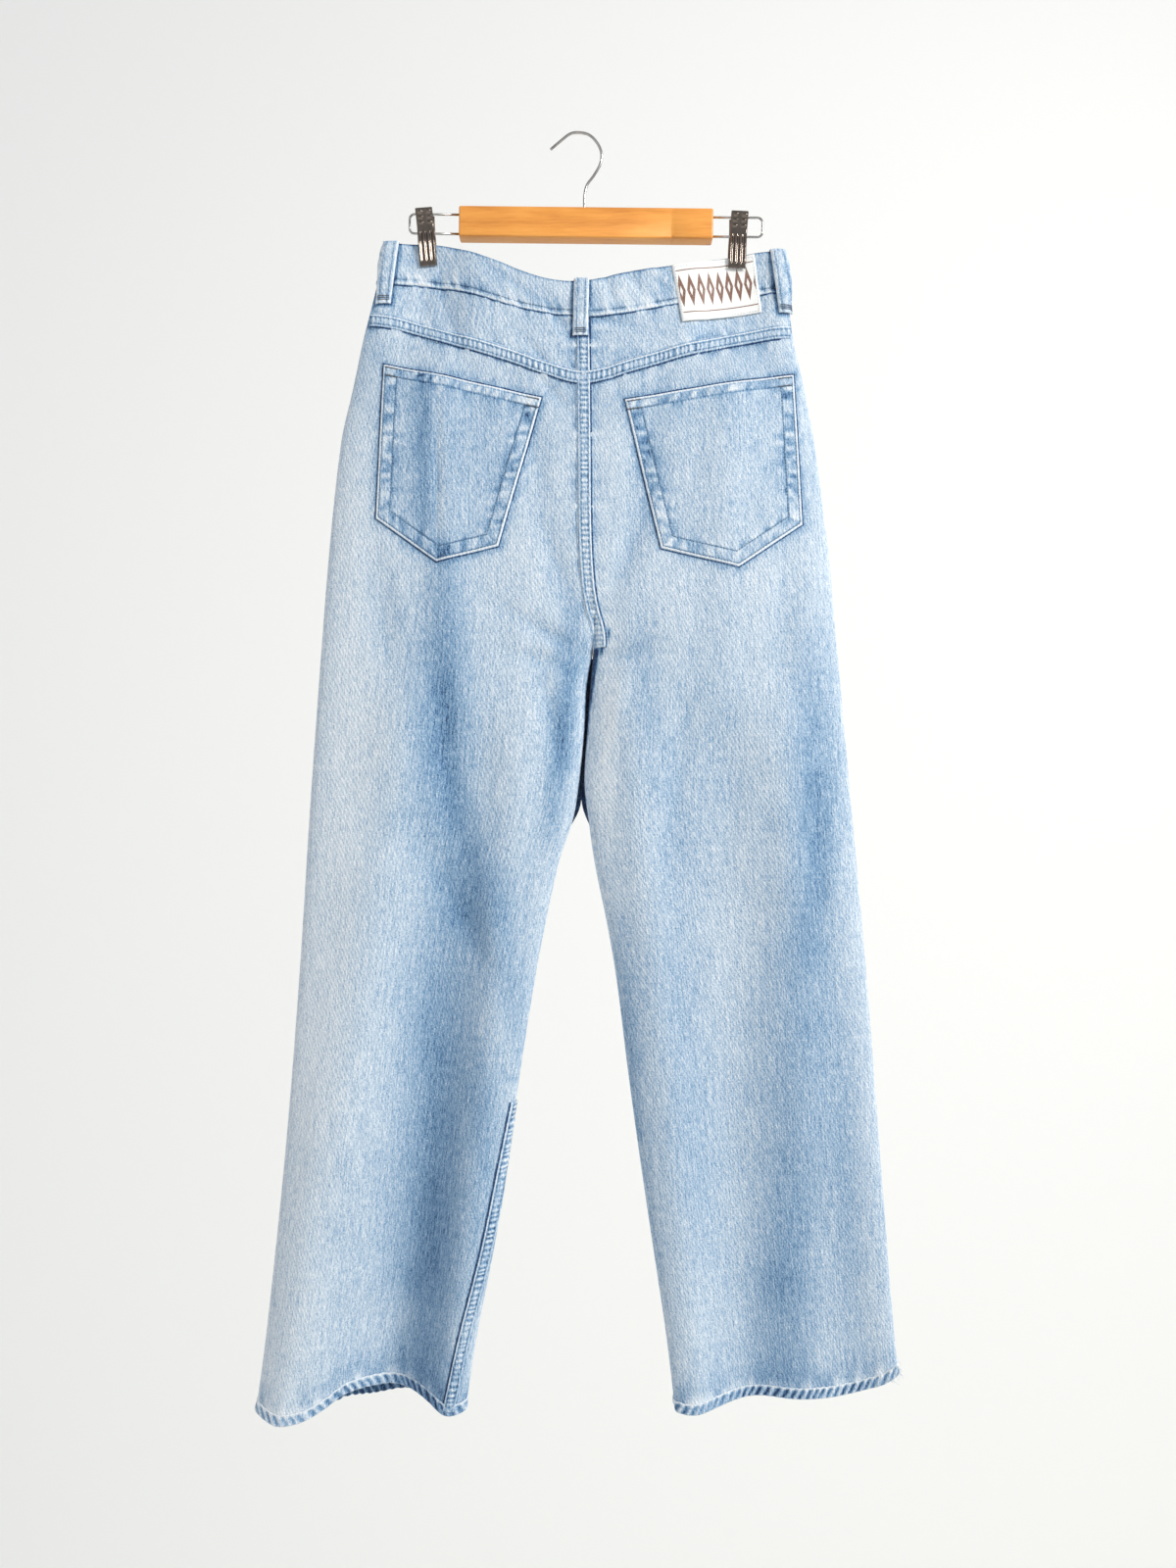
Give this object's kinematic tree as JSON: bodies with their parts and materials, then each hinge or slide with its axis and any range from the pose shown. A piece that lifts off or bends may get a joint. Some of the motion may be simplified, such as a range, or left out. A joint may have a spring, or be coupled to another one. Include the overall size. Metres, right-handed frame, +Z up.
{
  "type": "light-wash wide-leg jeans on a wooden clip hanger",
  "caption": "High-rise wide-leg denim jeans, seen from the back, hung by the waistband from a wooden bar hanger with sprung metal clips.",
  "frame": {"origin": "inside of the hook's crown, where a rail or screw carries the hanger", "axes": "+Z up; the back of the jeans faces -Y and the front +Y; +X is the wearer's right"},
  "size_m": [0.6388, 0.0754, 1.2811],
  "materials": {
    "light_denim": "soft washed cotton twill, light blue, faded on seat and thighs",
    "white_patch": "smooth white patch, matt",
    "button_metal": "dull aged metal",
    "bar_wood": "honey-coloured hardwood, satin varnish",
    "bright_steel": "plated steel, bright"
  },
  "bodies": {
    "root": {"back_panel_left": "light_denim", "back_panel_right": "light_denim", "back_pocket_hem_left": "light_denim", "back_pocket_hem_right": "light_denim", "back_pocket_left": "light_denim", "back_pocket_right": "light_denim", "belt_loop_back_centre": "light_denim", "belt_loop_back_left": "light_denim", "belt_loop_back_right": "light_denim", "belt_loop_front_left": "light_denim", "belt_loop_front_right": "light_denim", "centre_back_seam": "light_denim", "centre_back_seam_yoke": "light_denim", "centre_front_seam": "light_denim", "clip_coil_left": "bright_steel", "clip_coil_right": "bright_steel", "clip_jaw_back_left": "bright_steel", "clip_jaw_back_right": "bright_steel", "clip_jaw_front_left": "bright_steel", "clip_jaw_front_right": "bright_steel", "fly_flap": "light_denim", "front_panel_left": "light_denim", "front_panel_right": "light_denim", "front_pocket_facing_left": "light_denim", "front_pocket_facing_right": "light_denim", "hanger_bar": "bar_wood", "hanger_hook": "bright_steel", "hem_back_left": "light_denim", "hem_back_right": "light_denim", "hem_front_left": "light_denim", "hem_front_right": "light_denim", "inseam_left": "light_denim", "inseam_right": "light_denim", "waist_button": "button_metal", "waist_patch": "white_patch", "waistband_back": "light_denim", "waistband_front_left": "light_denim", "waistband_front_right": "light_denim", "wire_loop_left": "bright_steel", "wire_loop_right": "bright_steel", "yoke_left": "light_denim", "yoke_right": "light_denim", "yoke_seam_left": "light_denim", "yoke_seam_right": "light_denim"}
  },
  "joints": []
}
